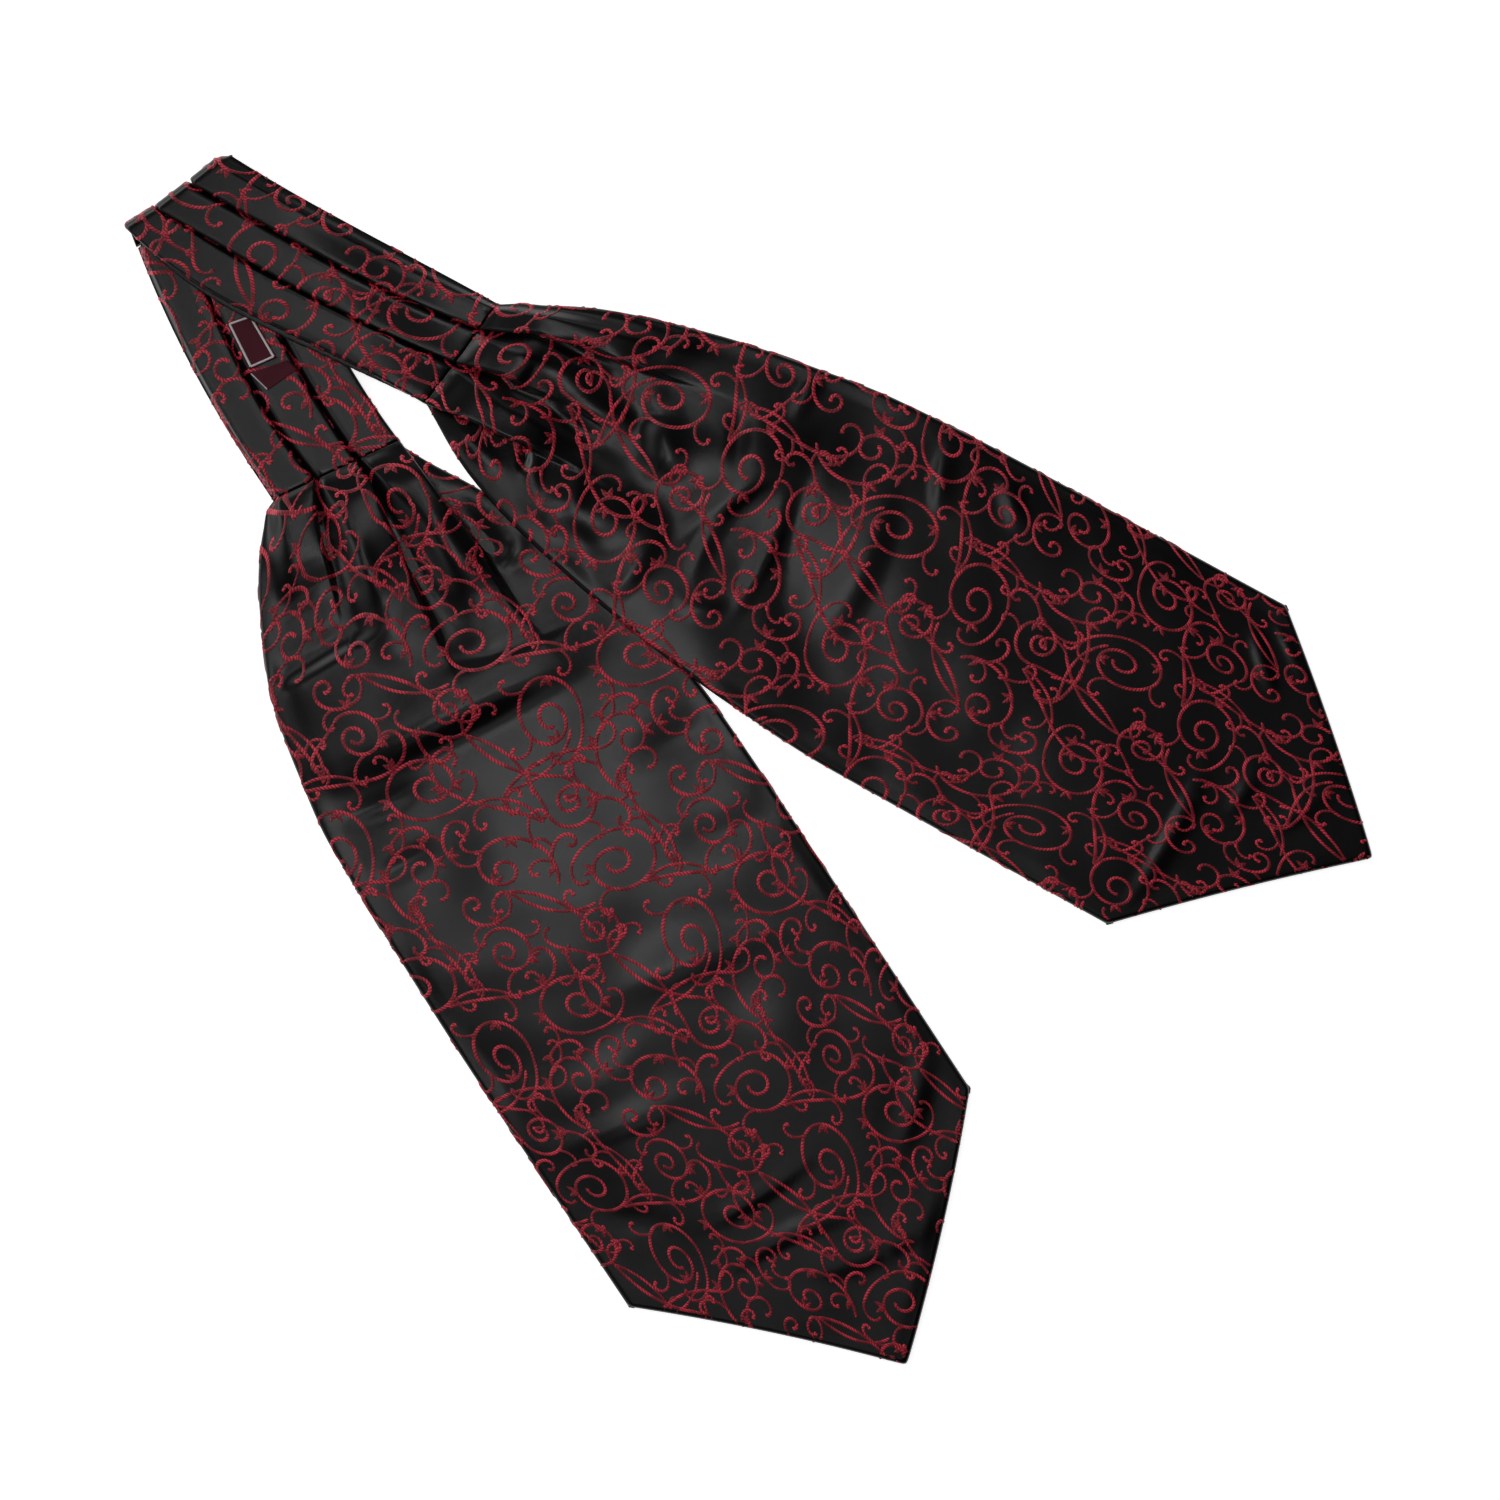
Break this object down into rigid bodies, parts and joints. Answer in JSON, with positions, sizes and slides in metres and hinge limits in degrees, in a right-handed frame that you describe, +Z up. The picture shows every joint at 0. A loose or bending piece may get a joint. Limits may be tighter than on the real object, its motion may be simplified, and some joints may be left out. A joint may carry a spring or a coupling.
{
  "type": "cravat",
  "caption": "Pointed-end cravat with a narrow neckband of pressed pleats, laid out flat and folded over once at the neckband, with a label sewn inside.",
  "frame": {"origin": "middle of the footprint, on the surface that the cravat lies on", "axes": "+Z up from that surface, +X to the right and +Y away as the cravat is laid out, with the fold of the neckband at -X and the blades' points towards +X and -Y"},
  "size_m": [0.4985, 0.4834, 0.0096],
  "materials": {
    "satin": "black satin with woven red scrollwork",
    "ribbon": "maroon woven ribbon"
  },
  "bodies": {
    "root": {"blade_upper_front": "satin", "blade_upper_back": "satin", "blade_lower_front": "satin", "blade_lower_back": "satin", "neckband_upper": "satin", "neckband_lower": "satin", "label": "ribbon", "care_tag": "ribbon"}
  },
  "joints": []
}
